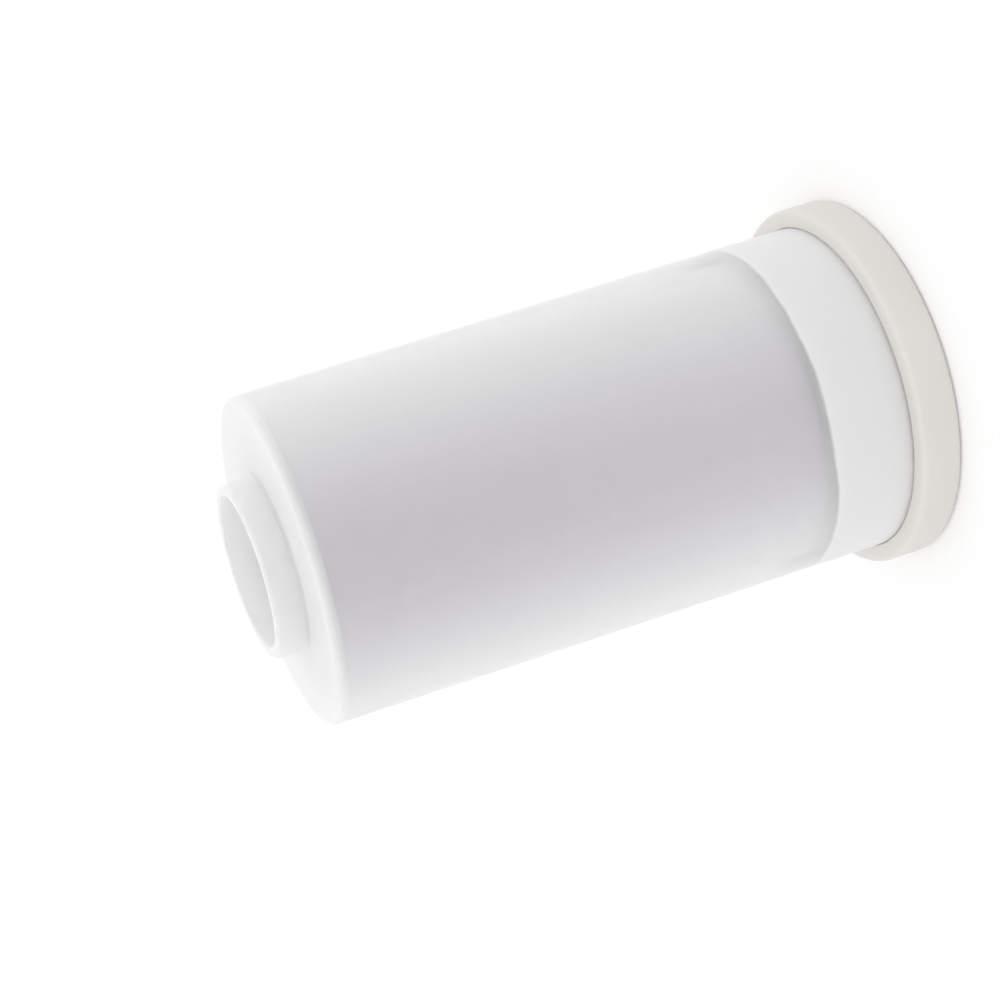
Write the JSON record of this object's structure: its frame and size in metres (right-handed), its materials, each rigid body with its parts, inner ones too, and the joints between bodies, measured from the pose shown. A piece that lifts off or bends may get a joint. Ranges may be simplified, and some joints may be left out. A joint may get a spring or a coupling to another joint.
{
  "type": "scale control cartridge",
  "caption": "Translucent tubular housing full of softening beads, with an outlet spigot in its closed end and a flanged end cap with an inlet grille snapped into the other.",
  "frame": {"origin": "centre of the flange's flat rear face, on which the cartridge stands", "axes": "+Z along the cartridge's axis, from the flange towards the outlet spigot"},
  "size_m": [0.056, 0.056, 0.1006],
  "materials": {
    "housing_plastic": "frosted natural polypropylene, satin, lets light through",
    "cap_plastic": "creamy white polypropylene, satin",
    "screen_mesh": "fine woven white mesh",
    "softening_beads": "fine pale lavender-grey beads, packed"
  },
  "bodies": {
    "root": {"housing": "housing_plastic", "end_cap": "cap_plastic", "inlet_screen": "screen_mesh", "outlet_screen": "screen_mesh", "bead_bed": "softening_beads"}
  },
  "joints": []
}
